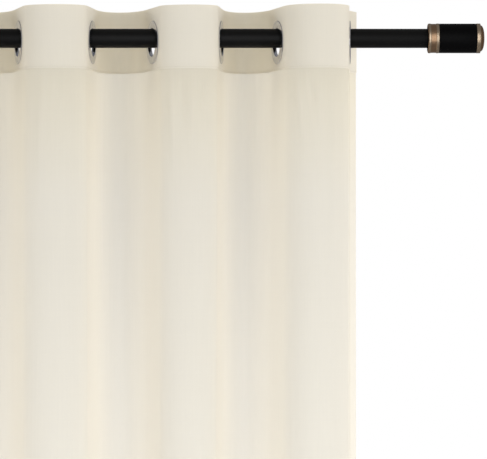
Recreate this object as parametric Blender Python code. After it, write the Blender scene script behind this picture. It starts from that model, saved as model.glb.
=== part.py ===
"""Sheer curtain panel on eight grommets, hanging in waves from a black rod with end caps.

Metres, +Z up. X runs along the rod, -Y faces the room and +Y the wall.
The origin is on the rod's axis, midway between its ends.
"""

import math
from collections import namedtuple

import bmesh
import bpy
import numpy as np

GAP = 0.0003  # between pieces that touch

# Rod: a 25.4 mm tube. Its sides are flat facets, one of them facing straight down.
ROD_RADIUS = 0.0127
ROD_WALL = 0.0012
ROD_SIDES = 32
COAT = 0.0001  # the rod's black coat, which stops where the end caps slide on

# End cap, measured outwards from the face of its collar.
CAP_FACE_X = 0.408
CAP_RADIUS = 0.01965
CAP_SIDES = 24
COLLAR_LENGTH = 0.0147
COLLAR_LIP = 0.0030
COVE_DEPTH = 0.0005
MOUTH_DEPTH = 0.0030
MOUTH_RADIUS = 0.0170
BODY_RADIUS = 0.01945
BODY_LENGTH = 0.0489
SPIGOT_REACH = 0.0180
NECK_RADIUS = 0.0165
BAND_LENGTH = 0.0051
TIP_RADIUS = 0.0174
TIP_LENGTH = 0.0051
TIP_DOME = ((0.60, 0.94), (0.92, 0.72))  # shares of the tip's length and radius along its dome
EDGE_ROUND = 0.0007

# Grommet: axial distances run from the cloth's middle towards the room side.
GROMMET_RADIUS = 0.02875
LIP_RADIUS = 0.0215
THROAT_RADIUS = 0.0184
SLEEVE_RADIUS = 0.0200
FLANGE_RISE = 0.0017
RIM_SHARE = 0.25  # of the rise, at the flange's outer rim
LIP_SHARE = 0.75  # of the rise, where the flange turns in to the throat
GROMMET_SIDES = 24
GROMMET_DROP = THROAT_RADIUS - ROD_RADIUS - GAP  # the ring's throat rests on top of the rod

# Cloth
HEADING_TOP = 0.0405
HEADING_BOTTOM = -0.0425
HEADING_THICKNESS = 0.0018
HEM_BOTTOM = -2.093
HEM_HEIGHT = 0.090
SIDE_HEM_WIDTH = 0.025
VOILE_THICKNESS = 0.0010
SIDE_HEM_THICKNESS = 0.0015
BOTTOM_HEM_THICKNESS = 0.0018
FLAT_HALF = 0.031  # the cloth is flat this far each side of a grommet's middle
FLAT_HALF_AT_HEM = 0.013
TURN_STEPS = 8
EDGE_POINTS = 3  # on the curve between the last flat stretch and the side hem
BEZIER_REACH = 0.75  # a turn whose handles are 1 long comes this far forward
DRIFT_POWER = 1.6  # the folds keep the heading's form high up and wander further down

# Where the cloth crosses the rod, from the left. lean is how far it is turned off square to the rod.
Crossing = namedtuple("Crossing", "x lean hem_shift hem_lean")
CROSSINGS = (
    Crossing(x=-0.3043, lean=15.5, hem_shift=+0.009, hem_lean=11.0),
    Crossing(x=-0.2124, lean=6.5, hem_shift=-0.011, hem_lean=2.0),
    Crossing(x=-0.1324, lean=15.3, hem_shift=-0.004, hem_lean=14.0),
    Crossing(x=-0.0367, lean=7.0, hem_shift=+0.012, hem_lean=9.0),
    Crossing(x=+0.0452, lean=17.6, hem_shift=+0.008, hem_lean=6.0),
    Crossing(x=+0.1337, lean=5.7, hem_shift=-0.012, hem_lean=12.0),
    Crossing(x=+0.2103, lean=14.9, hem_shift=-0.006, hem_lean=8.0),
    Crossing(x=+0.3036, lean=2.5, hem_shift=+0.005, hem_lean=3.0),
)

# The folds between the crossings, from the left: how far each tip stands from the rod's axis.
Fold = namedtuple("Fold", "tip hem_tip")
FOLDS = (
    Fold(tip=-0.058, hem_tip=-0.071),
    Fold(tip=+0.077, hem_tip=+0.062),
    Fold(tip=-0.056, hem_tip=-0.058),
    Fold(tip=+0.075, hem_tip=+0.084),
    Fold(tip=-0.050, hem_tip=-0.066),
    Fold(tip=+0.077, hem_tip=+0.068),
    Fold(tip=-0.064, hem_tip=-0.056),
)

# The two side edges, which turn towards the wall. turn is the edge's lean off square to the rod.
Side = namedtuple("Side", "x y turn hem_x hem_y")
LEFT_SIDE = Side(x=-0.3210, y=0.067, turn=-24.0, hem_x=-0.3190, hem_y=0.062)
RIGHT_SIDE = Side(x=+0.3160, y=0.067, turn=24.0, hem_x=+0.3190, hem_y=0.060)

# Heights of the panel's rows, as shares of its drop down to the bottom hem's stitch line.
ROW_SHARES = (0.0, 0.022, 0.06, 0.115, 0.19, 0.28, 0.38, 0.49, 0.60, 0.71, 0.82, 0.92)

COLOURS = {
    "voile": ((0.88, 0.85, 0.76), 0.85, 0.0),
    "heading": ((0.90, 0.87, 0.79), 0.80, 0.0),
    "nickel": ((0.74, 0.74, 0.75), 0.22, 1.0),
    "black": ((0.012, 0.012, 0.013), 0.35, 0.6),
    "copper": ((0.45, 0.30, 0.20), 0.35, 1.0),
}


def material(finish):
    """The Principled material of one finish, made on first use."""
    found = bpy.data.materials.get(finish)
    if found:
        return found
    colour, roughness, metallic = COLOURS[finish]
    made = bpy.data.materials.new(finish)
    made.use_nodes = True
    shader = made.node_tree.nodes["Principled BSDF"]
    shader.inputs["Base Color"].default_value = (*colour, 1.0)
    shader.inputs["Roughness"].default_value = roughness
    shader.inputs["Metallic"].default_value = metallic
    return made


def finish_mesh(name, points, faces, finish):
    """A mesh with outward faces and its material."""
    mesh = bpy.data.meshes.new(name)
    mesh.from_pydata([tuple(point) for point in points], [], faces)
    work = bmesh.new()
    work.from_mesh(mesh)
    bmesh.ops.recalc_face_normals(work, faces=work.faces)
    work.to_mesh(mesh)
    work.free()
    mesh.materials.append(material(finish))
    mesh.shade_smooth()
    mesh.set_sharp_from_angle(angle=math.radians(35))
    return mesh


def place(name, mesh, parent, location=(0, 0, 0), turn=0.0):
    """An object of the mesh under an empty, turned about Z."""
    piece = bpy.data.objects.new(name, mesh)
    bpy.context.collection.objects.link(piece)
    piece.parent = parent
    piece.location = location
    piece.rotation_euler = (0.0, 0.0, turn)
    return piece


def empty(name):
    """A plain empty that groups the pieces of one assembly."""
    holder = bpy.data.objects.new(name, None)
    bpy.context.collection.objects.link(holder)
    return holder


def turned(name, outline, sides, finish):
    """A solid turned about its own X axis from a closed outline of (along, radius) points.

    Its flats are at the stated radius, one of them at the top. Points on the axis become poles.
    """
    corner = 1.0 / math.cos(math.pi / sides)
    points = []
    rings = []
    for along, radius in outline:
        if radius == 0.0:
            rings.append([len(points)] * sides)
            points.append((along, 0.0, 0.0))
            continue
        rings.append([len(points) + side for side in range(sides)])
        for side in range(sides):
            angle = (side + 0.5) * math.tau / sides
            reach = radius * corner
            points.append((along, reach * math.sin(angle), reach * math.cos(angle)))
    faces = []
    for here, after in zip(rings, rings[1:] + rings[:1]):
        for side in range(sides):
            ahead = (side + 1) % sides
            corners = [here[side], here[ahead], after[ahead], after[side]]
            face = list(dict.fromkeys(corners))
            if len(face) > 2:
                faces.append(face)
    return finish_mesh(name, points, faces, finish)


def direction(lean, forward):
    """The cloth's heading in plan where it leans off square to the rod: towards the room or the wall."""
    angle = math.radians(lean)
    depth = -math.cos(angle) if forward else math.cos(angle)
    return np.array([math.sin(angle), depth])


def bezier(start, first, second, end, steps):
    """Points of a cubic curve between its ends, both left out."""
    shares = [(step + 1) / (steps + 1) for step in range(steps)]
    return [
        (1 - t) ** 3 * start + 3 * (1 - t) ** 2 * t * first + 3 * (1 - t) * t**2 * second + t**3 * end
        for t in shares
    ]


def mix(top, bottom, share):
    """A value on its way from the heading to the hem."""
    return top + (bottom - top) * share


def side_edge(side, start, heading, share):
    """Points from the last flat stretch to a side edge, the edge's own point last."""
    tip = np.array([mix(side.x, side.hem_x, share), mix(side.y, side.hem_y, share)])
    angle = math.radians(side.turn)
    arriving = np.array([math.sin(angle), math.cos(angle)])
    length = np.linalg.norm(tip - start)
    hem_start = tip - arriving * SIDE_HEM_WIDTH
    before_hem = hem_start - arriving * VOILE_THICKNESS
    reach = length / 3
    first = start + heading * reach
    second = before_hem - arriving * reach / 3
    curve = bezier(start, first, second, before_hem, EDGE_POINTS)
    return [*curve, before_hem, hem_start, tip]


def plan(share):
    """The cloth's line in plan, from the left edge to the right one, at a share of the way to the hem."""
    flat = mix(FLAT_HALF, FLAT_HALF_AT_HEM, share)
    starts = []
    ends = []
    headings = []
    for number, crossing in enumerate(CROSSINGS):
        middle = np.array([crossing.x + crossing.hem_shift * share, 0.0])
        heading = direction(mix(crossing.lean, crossing.hem_lean, share), forward=number % 2 == 0)
        headings.append(heading)
        starts.append(middle - heading * flat)
        ends.append(middle + heading * flat)
    left = side_edge(LEFT_SIDE, starts[0], -headings[0], share)
    line = [*left[::-1], starts[0], ends[0]]
    for number, fold in enumerate(FOLDS):
        start = ends[number]
        end = starts[number + 1]
        turn_depth = abs(mix(fold.tip, fold.hem_tip, share)) - abs(start[1] + end[1]) / 2
        leaving = headings[number]
        arriving = headings[number + 1]
        handle_out = turn_depth / (BEZIER_REACH * abs(leaving[1]))
        handle_in = turn_depth / (BEZIER_REACH * abs(arriving[1]))
        first = start + leaving * handle_out
        second = end - arriving * handle_in
        line += bezier(start, first, second, end, TURN_STEPS - 1)
        line += [end, ends[number + 1]]
    right = side_edge(RIGHT_SIDE, ends[-1], headings[-1], share)
    return np.array(line + right)


def room_side(line):
    """Unit vectors square to a line in plan, pointing to the cloth's room side."""
    steps = np.diff(line, axis=0)
    steps /= np.linalg.norm(steps, axis=1)[:, None]
    before = np.vstack([steps[:1], steps])
    after = np.vstack([steps, steps[-1:]])
    along = before + after
    along /= np.linalg.norm(along, axis=1)[:, None]
    return np.stack([along[:, 1], -along[:, 0]], axis=1)


def cloth(name, rows, finish):
    """A closed sheet from rows of (height, line in plan, thickness at each point), top row first."""
    columns = len(rows[0][1])
    points = []
    for height, line, thickness in rows:
        out = room_side(line) * np.asarray(thickness)[:, None] / 2
        points += [(x, y, height) for x, y in line + out]
        points += [(x, y, height) for x, y in line - out]
    faces = []
    stride = 2 * columns
    for row in range(len(rows) - 1):
        top = row * stride
        for column in range(columns - 1):
            a = top + column
            faces.append([a, a + 1, a + 1 + stride, a + stride])
            b = a + columns
            faces.append([b, b + stride, b + 1 + stride, b + 1])
        for a in (top, top + columns - 1):
            faces.append([a, a + stride, a + columns + stride, a + columns])
    for top in (0, (len(rows) - 1) * stride):
        for column in range(columns - 1):
            a = top + column
            faces.append([a, a + columns, a + columns + 1, a + 1])
    return finish_mesh(name, points, faces, finish)


def grommet_place(number):
    """Where a grommet sits on the rod, and the turn that points its axis to the cloth's room side."""
    crossing = CROSSINGS[number]
    along = direction(crossing.lean, forward=number % 2 == 0)
    return (crossing.x, 0.0, -GROMMET_DROP), math.atan2(-along[0], along[1])


def build_heading(parent):
    """The doubled top strip, with a round hole at each grommet."""
    line = plan(0.0)
    thickness = np.full(len(line), HEADING_THICKNESS)
    rows = [(HEADING_TOP, line, thickness), (HEADING_BOTTOM, line, thickness)]
    heading = place("heading", cloth("heading", rows, "heading"), parent)
    reach = 2 * HEADING_THICKNESS
    hole = SLEEVE_RADIUS + GAP
    outline = [(-reach, 0.0), (-reach, hole), (reach, hole), (reach, 0.0)]
    punch_mesh = turned("punch", outline, GROMMET_SIDES, "heading")
    for number in range(len(CROSSINGS)):
        location, turn = grommet_place(number)
        punch = place(f"punch_{number + 1}", punch_mesh, parent, location, turn)
        punch.hide_render = True
        punch.display_type = "WIRE"
        cut = heading.modifiers.new(punch.name, "BOOLEAN")
        cut.object = punch
        cut.operation = "DIFFERENCE"
        cut.solver = "EXACT"


def build_panel(parent):
    """The voile below the heading, with thicker side and bottom hems."""
    top = HEADING_BOTTOM - GAP
    stitch = HEM_BOTTOM + HEM_HEIGHT
    drop = top - stitch
    heights = [(top - drop * share, False) for share in ROW_SHARES]
    heights += [(stitch + VOILE_THICKNESS, False), (stitch, True), (HEM_BOTTOM, True)]
    rows = []
    for height, in_hem in heights:
        share = ((top - height) / (top - HEM_BOTTOM)) ** DRIFT_POWER
        line = plan(share)
        body = BOTTOM_HEM_THICKNESS if in_hem else VOILE_THICKNESS
        side = BOTTOM_HEM_THICKNESS if in_hem else SIDE_HEM_THICKNESS
        thickness = np.full(len(line), body)
        thickness[:2] = side
        thickness[-2:] = side
        rows.append((height, line, thickness))
    place("voile_panel", cloth("voile_panel", rows, "voile"), parent)


def build_grommets(parent):
    """Eight two-piece rings, each gripping the heading and hanging on the rod."""
    under = HEADING_THICKNESS / 2 + GAP
    crown = under + FLANGE_RISE
    crown_radius = (GROMMET_RADIUS + LIP_RADIUS) / 2
    rim = under + RIM_SHARE * FLANGE_RISE
    lip = under + LIP_SHARE * FLANGE_RISE
    flange = [
        (under, GROMMET_RADIUS - EDGE_ROUND),
        (rim, GROMMET_RADIUS),
        (crown, crown_radius),
        (lip, LIP_RADIUS),
        (under, THROAT_RADIUS),
    ]
    sleeve_end = under - HEADING_THICKNESS
    front = [*flange, (sleeve_end, THROAT_RADIUS), (sleeve_end, SLEEVE_RADIUS), (under, SLEEVE_RADIUS)]
    seat = sleeve_end - GAP
    mirrored = [(-along, radius) for along, radius in flange]
    back = [*mirrored, (seat, THROAT_RADIUS), (seat, SLEEVE_RADIUS), (-under, SLEEVE_RADIUS)]
    front_mesh = turned("grommet_front", front, GROMMET_SIDES, "nickel")
    back_mesh = turned("grommet_back", back, GROMMET_SIDES, "nickel")
    for number in range(len(CROSSINGS)):
        location, turn = grommet_place(number)
        place(f"grommet_front_{number + 1}", front_mesh, parent, location, turn)
        place(f"grommet_back_{number + 1}", back_mesh, parent, location, turn)


def build_rod(parent):
    """The tube. Its coat stops in the mouths of the end caps, which slide on the bare tube."""
    coat_end = CAP_FACE_X + MOUTH_DEPTH - GAP
    bare = ROD_RADIUS - COAT
    end = CAP_FACE_X + COLLAR_LENGTH
    bore = ROD_RADIUS - ROD_WALL
    right = [(coat_end, ROD_RADIUS), (coat_end, bare), (end, bare), (end, bore)]
    left = [(-along, radius) for along, radius in reversed(right)]
    place("rod", turned("rod", [*left, *right], ROD_SIDES, "black"), parent)


def build_cap(parent, side, turn):
    """One end cap: collar, body with its spigot, end band and tip, built along +X."""
    bore = ROD_RADIUS - COAT + GAP
    far = COLLAR_LENGTH
    lip_radius = CAP_RADIUS - EDGE_ROUND
    cove = CAP_RADIUS - COVE_DEPTH
    collar = [
        (0.0, MOUTH_RADIUS),
        (0.0, lip_radius),
        (EDGE_ROUND, CAP_RADIUS),
        (COLLAR_LIP, CAP_RADIUS),
        (COLLAR_LIP + COVE_DEPTH, cove),
        (far - COLLAR_LIP - COVE_DEPTH, cove),
        (far - COLLAR_LIP, CAP_RADIUS),
        (far, CAP_RADIUS),
        (far, bore),
        (MOUTH_DEPTH, bore),
        (MOUTH_DEPTH, MOUTH_RADIUS),
    ]
    spigot = ROD_RADIUS - ROD_WALL - GAP
    shoulder = COLLAR_LENGTH + GAP
    body_end = shoulder + BODY_LENGTH
    neck_end = body_end + BAND_LENGTH
    body = [
        (shoulder - SPIGOT_REACH, 0.0),
        (shoulder - SPIGOT_REACH, spigot),
        (shoulder, spigot),
        (shoulder, BODY_RADIUS),
        (body_end, BODY_RADIUS),
        (body_end, NECK_RADIUS),
        (neck_end, NECK_RADIUS),
        (neck_end, 0.0),
    ]
    band_start = body_end + GAP
    band_end = band_start + BAND_LENGTH
    band = [
        (band_start, NECK_RADIUS + GAP),
        (band_start, CAP_RADIUS),
        (band_end - EDGE_ROUND, CAP_RADIUS),
        (band_end, lip_radius),
        (band_end, NECK_RADIUS + GAP),
    ]
    tip_start = neck_end + 2 * GAP
    tip = [
        (tip_start, 0.0),
        (tip_start, TIP_RADIUS - EDGE_ROUND),
        (tip_start + EDGE_ROUND, TIP_RADIUS),
        *[(tip_start + out * TIP_LENGTH, wide * TIP_RADIUS) for out, wide in TIP_DOME],
        (tip_start + TIP_LENGTH, 0.0),
    ]
    face = (math.copysign(CAP_FACE_X, math.cos(turn)), 0.0, 0.0)
    outlines = {"collar": collar, "body": body, "band": band, "tip": tip}
    for piece, outline in outlines.items():
        finish = "black" if piece == "body" else "copper"
        name = f"cap_{piece}_{side}"
        place(name, turned(name, outline, CAP_SIDES, finish), parent, face, turn)


def build():
    """The whole curtain on its rod."""
    for old in list(bpy.data.objects):
        bpy.data.objects.remove(old, do_unlink=True)
    curtain = empty("curtain")
    pole = empty("pole")
    build_heading(curtain)
    build_panel(curtain)
    build_grommets(curtain)
    build_rod(pole)
    build_cap(pole, "right", 0.0)
    build_cap(pole, "left", math.pi)


build()
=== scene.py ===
# %% [markdown]
# # A sheer voile curtain on its rod
# This notebook dresses a plain, measured model of a curtain as cloth, thread, nickel, copper and black
# paint. The measured model gives every place and size; here each piece gets the form and the finish that
# the real one has. Lengths are metres, +Z is up, X runs along the rod and -Y faces the room.
#
# The measured model is loaded first and stays fixed, and the dressed curtain is built in the same
# space. The dressed curtain has to fill the same space.

# %% Load the measured model
import math
from collections import namedtuple

import bmesh
import bpy
import numpy as np
from mathutils import Matrix, Vector


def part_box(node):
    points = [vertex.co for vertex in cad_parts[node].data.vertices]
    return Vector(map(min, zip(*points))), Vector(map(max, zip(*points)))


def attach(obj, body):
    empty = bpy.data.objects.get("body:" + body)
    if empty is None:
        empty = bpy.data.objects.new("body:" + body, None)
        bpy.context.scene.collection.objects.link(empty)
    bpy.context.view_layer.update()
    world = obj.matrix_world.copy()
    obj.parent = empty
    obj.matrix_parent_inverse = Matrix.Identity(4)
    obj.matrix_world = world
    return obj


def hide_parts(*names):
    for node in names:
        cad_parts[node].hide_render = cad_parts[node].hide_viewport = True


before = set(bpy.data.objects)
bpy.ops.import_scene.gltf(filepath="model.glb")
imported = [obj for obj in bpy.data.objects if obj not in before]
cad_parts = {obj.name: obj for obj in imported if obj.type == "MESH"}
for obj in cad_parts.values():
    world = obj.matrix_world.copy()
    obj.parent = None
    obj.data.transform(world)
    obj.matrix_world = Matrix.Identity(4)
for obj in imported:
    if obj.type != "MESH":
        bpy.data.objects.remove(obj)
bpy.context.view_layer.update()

scene = bpy.context.scene
print("measured pieces:", len(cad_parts))

# %% [markdown]
# ## The camera
# The curtain was photographed square on, from far enough away that the rod's two edges stay parallel. The
# rod is 25.4 mm thick and measures 19.2 pixels, which fixes the scale. A long lens at 3.4 m gives the same
# small drop of the heading's top edge between the near folds and the far ones. The camera looks straight
# along +Y, so it needs no tilt, and it only has to stand in front of the middle of the picture.

# %% Camera
PICTURE = (487, 459)  # pixels
ROD_MIDDLE = (119.25, 38.4)  # the pixel where the middle of the rod lies
PIXEL = 0.001323  # metres at the rod
CAMERA_DISTANCE = 3.4
SENSOR = 0.036

look_x = (PICTURE[0] / 2 - ROD_MIDDLE[0]) * PIXEL
look_z = (ROD_MIDDLE[1] - PICTURE[1] / 2) * PIXEL
eye = bpy.data.cameras.new("photo_camera")
eye.sensor_width = SENSOR * 1000
eye.lens = 1000 * SENSOR * CAMERA_DISTANCE / (PICTURE[0] * PIXEL)
camera = bpy.data.objects.new("photo_camera", eye)
camera.location = (look_x, -CAMERA_DISTANCE, look_z)
camera.rotation_euler = (math.radians(90), 0, 0)
scene.collection.objects.link(camera)
scene.camera = camera
scene.view_settings.view_transform = "Standard"
print(f"lens {eye.lens:.0f} mm, looking at x {look_x:.3f}, z {look_z:.3f}")

# %% [markdown]
# ## Small helpers
# Every finish below is a little graph of shader nodes. A few short helpers keep those graphs readable:
# `add` makes one node with its settings and inputs, `new_material` makes an empty graph with its output,
# and the others make the nodes that come back often. An input may be a plain value or another node's
# socket, and `add` tells them apart. Of two more helpers, `closed_mesh` makes a mesh that faces outwards and
# `put` puts a mesh or a lamp in the scene.

# %% Helpers for node graphs
def add(tree, kind, inputs=None, **settings):
    """A node of the kind, with its settings and with its inputs set or linked."""
    made = tree.nodes.new(kind)
    for name, value in settings.items():
        setattr(made, name, value)
    for key, value in (inputs or {}).items():
        if isinstance(value, bpy.types.NodeSocket):
            tree.links.new(value, made.inputs[key])
        else:
            made.inputs[key].default_value = value
    return made


def new_material(name):
    """An empty material graph with its output node."""
    made = bpy.data.materials.new(name)
    made.use_nodes = True
    made.node_tree.nodes.clear()
    return made, made.node_tree, add(made.node_tree, "ShaderNodeOutputMaterial")


def ramp(tree, factor, low, high, span=(0.0, 1.0)):
    """The factor's span stretched to run from low to high."""
    given = {"Value": factor, "From Min": span[0], "From Max": span[1], "To Min": low, "To Max": high}
    return add(tree, "ShaderNodeMapRange", given).outputs["Result"]


def math_of(tree, operation, first, second=0.0):
    """The sum, product or other result of two sockets or values."""
    return add(tree, "ShaderNodeMath", {0: first, 1: second}, operation=operation).outputs["Value"]


def blend(tree, share, first, second, how="MIX"):
    """Two colours, the second one with its share."""
    given = {"Factor": share, "A": first, "B": second}
    return add(tree, "ShaderNodeMix", given, data_type="RGBA", blend_type=how).outputs["Result"]


def join(tree, share, first, second):
    """Two shaders, the second one with its share."""
    return add(tree, "ShaderNodeMixShader", {"Fac": share, 1: first, 2: second}).outputs[0]


print("helpers for graphs ready")

# %% Helpers for meshes
def closed_mesh(name, points, faces):
    """A closed mesh whose faces all point outwards."""
    mesh = bpy.data.meshes.new(name)
    mesh.from_pydata(points, [], faces)
    work = bmesh.new()
    work.from_mesh(mesh)
    bmesh.ops.recalc_face_normals(work, faces=work.faces)
    work.to_mesh(mesh)
    work.free()
    return mesh


def put(name, data):
    """An object of the mesh or the lamp, at the origin."""
    made = bpy.data.objects.new(name, data)
    scene.collection.objects.link(made)
    return made


print("helpers for meshes ready")

# %% [markdown]
# ## Voile
# Voile is a plain weave of fine, hard-twisted yarn with gaps between the threads. Three things happen to
# light on it: some bounces off the yarn, some soaks through and glows on the other side, and some passes
# straight between the threads. A Principled, a Translucent and a Transparent shader are mixed for these.
#
# The threads could be modelled, but there are fourteen in each centimetre both ways, so they live in the
# material. The pattern reads a UV map that holds the flat cloth's own metres, so the threads follow the
# folds. Slubs, the thicker stretches of uneven yarn, are noise drawn out long along each thread.

# %% Cloth patterns
THREADS_PER_METRE = 1400
SLUB_ACROSS = 330  # slubs per metre counted across the threads
SLUB_ALONG = 9  # and along them
WEFT_SHIFT = (3.7, 9.1, 0)  # so that the weft's slubs aren't the warp's
WARP_SHARE = 0.72  # how much of the unevenness runs down the cloth


def cloth_coordinates(tree):
    """The flat cloth's metres: both, across and down."""
    uv = add(tree, "ShaderNodeUVMap", uv_map="cloth").outputs["UV"]
    apart = add(tree, "ShaderNodeSeparateXYZ", {0: uv})
    return uv, apart.outputs["X"], apart.outputs["Y"]


def slubs(tree, uv, down_the_cloth):
    """Uneven yarn running down or across the cloth, about 0 to 1."""
    counts = (SLUB_ACROSS, SLUB_ALONG, 1) if down_the_cloth else (SLUB_ALONG, SLUB_ACROSS, 1)
    shift = (0, 0, 0) if down_the_cloth else WEFT_SHIFT
    place = add(tree, "ShaderNodeMapping", {"Vector": uv, "Scale": counts, "Location": shift})
    given = {"Vector": place.outputs[0], "Scale": 1.0, "Detail": 2.0, "Roughness": 0.6}
    return add(tree, "ShaderNodeTexNoise", given, noise_dimensions="2D").outputs["Fac"]


def threads(tree, across, down):
    """The plain weave's height: two sets of round threads that take turns on top."""
    turn = THREADS_PER_METRE * math.pi
    warp = math_of(tree, "SINE", math_of(tree, "MULTIPLY", across, turn))
    weft = math_of(tree, "SINE", math_of(tree, "MULTIPLY", down, turn))
    return math_of(tree, "ABSOLUTE", math_of(tree, "MULTIPLY", warp, weft))


def thick_and_thin(tree, uv):
    """How dense the weave is from place to place, around 0.5."""
    warp = math_of(tree, "MULTIPLY", slubs(tree, uv, True), WARP_SHARE)
    weft = math_of(tree, "MULTIPLY", slubs(tree, uv, False), 1 - WARP_SHARE)
    return math_of(tree, "ADD", warp, weft)


print("threads per centimetre:", THREADS_PER_METRE // 100)

# %% [markdown]
# ## The two cloth finishes
# The panel and the heading are the same ivory cloth, but the heading is doubled over a stiffener, so nothing
# shows through it and the light that soaks through comes out warmer. One colour could do for each. Here
# each has a colour that it throws back and a colour that it lets through, because a curtain is seen with
# light from both sides. The voile also has a painted warm shade just under the heading, and that painted
# shade fades over a hand's width.
#
# In a hem light bounces many times between three close layers, far more often than a picture can afford, so
# the hem would come out too dark. Its two turned-in layers, and the edge that is sewn in between the
# heading's layers, are marked with an attribute and made more open.

# %% Voile and heading materials
IVORY = (0.838, 0.791, 0.698, 1.0)
IVORY_THROUGH = (0.875, 0.842, 0.775, 1.0)
HEADING_IVORY = (0.925, 0.880, 0.797, 1.0)
HEADING_THROUGH = (0.820, 0.770, 0.630, 1.0)  # the stiffener keeps more of the light, and more of its blue
VOILE_COVER = (0.930, 0.950)  # share of the cloth that is yarn, where it is thin and where it is dense
UNEVEN = (0.35, 0.65)  # the span of the weave's density that runs from thin to dense
VOILE_GLOW = 0.48  # of the light that meets the yarn, what soaks through
HEADING_GLOW = 0.36  # and of the light that meets the heading
DEEPEST = 0.985  # how dark the densest yarn is, next to the rest
TURNED_COVER = 0.2  # how much of that yarn the layers inside a hem or the heading keep
WARM_SHADE_TINT = (1.0, 0.972, 0.875, 1.0)  # the painted warm shade just under the heading
WARM_SHADE_UNTIL = (-0.03, -0.18)  # heights on the flat cloth: where the painted shade starts to fade, where it has gone
WEAVE_SHARE = 0.35  # the threads' part in the relief, next to the slubs'
WEAVE_RELIEF = 0.0004  # the depth of the cloth's relief


def yarn_shader(tree, colour, height, bump):
    """Matt yarn with a faint sheen."""
    relief = add(tree, "ShaderNodeBump", {"Strength": bump, "Distance": WEAVE_RELIEF, "Height": height})
    given = {
        "Base Color": colour,
        "Roughness": 0.9,
        "Specular IOR Level": 0.2,
        "Sheen Weight": 0.08,
        "Sheen Roughness": 0.5,
        "Normal": relief.outputs[0],
    }
    return add(tree, "ShaderNodeBsdfPrincipled", given).outputs[0]


def cloth_material(name, colour, through, glow, bump, cover=None):
    """Woven cloth: yarn that reflects and glows, and the gaps between it where a cover is given."""
    made, tree, output = new_material(name)
    uv, across, down = cloth_coordinates(tree)
    dense = thick_and_thin(tree, uv)
    deep = tuple(c * DEEPEST for c in colour[:3]) + (1.0,)
    shade = blend(tree, ramp(tree, dense, 0.0, 1.0, UNEVEN), colour, deep)
    if cover:
        # a painted warm shade just under the heading, fading downwards
        shade = blend(tree, ramp(tree, down, 1.0, 0.0, WARM_SHADE_UNTIL), shade, WARM_SHADE_TINT, "MULTIPLY")
    weave = math_of(tree, "MULTIPLY", threads(tree, across, down), WEAVE_SHARE)
    yarn = yarn_shader(tree, shade, math_of(tree, "ADD", weave, dense), bump)
    soaked = add(tree, "ShaderNodeBsdfTranslucent", {"Color": through}).outputs[0]
    whole = join(tree, glow, yarn, soaked)
    if cover:
        turned = add(tree, "ShaderNodeAttribute", attribute_name="turned").outputs["Fac"]
        kept = ramp(tree, turned, 1.0, TURNED_COVER)
        covered = math_of(tree, "MULTIPLY", ramp(tree, dense, cover[0], cover[1], UNEVEN), kept)
        whole = join(tree, covered, add(tree, "ShaderNodeBsdfTransparent").outputs[0], whole)
    tree.links.new(whole, output.inputs["Surface"])
    return made


voile = cloth_material("sheer_voile", IVORY, IVORY_THROUGH, VOILE_GLOW, bump=0.08, cover=VOILE_COVER)
lined = cloth_material("stiffened_voile", HEADING_IVORY, HEADING_THROUGH, HEADING_GLOW, bump=0.12)
print("cloth finishes:", voile.name, lined.name)

# %% [markdown]
# ## Metal and paint
# The rod and the middle of each end cap wear a black coat, satin on the rod and deeper and duller on the
# caps. Powder paint flows into very small, soft bumps, so its roughness and its surface both vary a little.
# The cap's bands are plated copper that has been brushed around the cap and has darkened with age. On
# top of that the shallow cove has a painted shade and the beads that stand proud are painted lighter. How
# far a point lies from the cap's own axis tells the two apart. The rings are bright nickel.
#
# Uneven tone and grain could come from pictures wrapped around each piece. One noise in the piece's own
# metres was chosen, because it has the right size everywhere and shows no seam.

# %% A material for hard pieces
HARD_SPAN = (0.3, 0.7)  # the span of the noise that runs from one look to the other
COAT_RELIEF = 0.0002  # the depth of the finest bumps
LEAST_BEAD_LIGHT = 0.7  # what the noise leaves of the beads' painted lightness at least


def object_noise(tree, place, grain, stretch):
    """Noise in the piece's own metres."""
    held = add(tree, "ShaderNodeMapping", {"Vector": place, "Scale": stretch})
    given = {"Vector": held.outputs[0], "Scale": grain, "Detail": 3.0}
    return add(tree, "ShaderNodeTexNoise", given).outputs["Fac"]


def off_axis(tree, place):
    """How far a point lies from the X axis, which runs along the rod."""
    square = add(tree, "ShaderNodeVectorMath", {0: place, 1: (0, 1, 1)}, operation="MULTIPLY")
    return add(tree, "ShaderNodeVectorMath", {0: square.outputs[0]}, operation="LENGTH").outputs["Value"]


def hard_material(
    name, dark, light, rough, grain, bump, metallic=0.0, specular=0.5, stretch=(1, 1, 1), cove_shade_span=None
):
    """Metal or paint whose colour, roughness and surface vary with one noise.

    cove_shade_span is the pair of distances from the axis between which the metal goes from the cove's
    painted shade to the beads' painted lightness."""
    made, tree, output = new_material(name)
    place = add(tree, "ShaderNodeTexCoord").outputs["Object"]
    noise = object_noise(tree, place, grain, stretch)
    shade = ramp(tree, noise, 0.0, 1.0, HARD_SPAN)
    if cove_shade_span:
        # painted shade in the cove, lighter paint on the beads that stand proud
        cove_to_bead = ramp(tree, off_axis(tree, place), 0.0, 1.0, cove_shade_span)
        shade = math_of(tree, "MULTIPLY", cove_to_bead, ramp(tree, noise, LEAST_BEAD_LIGHT, 1.0, HARD_SPAN))
    relief = add(tree, "ShaderNodeBump", {"Strength": bump, "Distance": COAT_RELIEF, "Height": noise})
    given = {
        "Base Color": blend(tree, shade, dark, light),
        "Metallic": metallic,
        "Roughness": ramp(tree, noise, rough[0], rough[1], HARD_SPAN),
        "Specular IOR Level": specular,
        "Normal": relief.outputs[0],
    }
    shader = add(tree, "ShaderNodeBsdfPrincipled", given)
    tree.links.new(shader.outputs[0], output.inputs["Surface"])
    return made


print("hard material ready")

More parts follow.
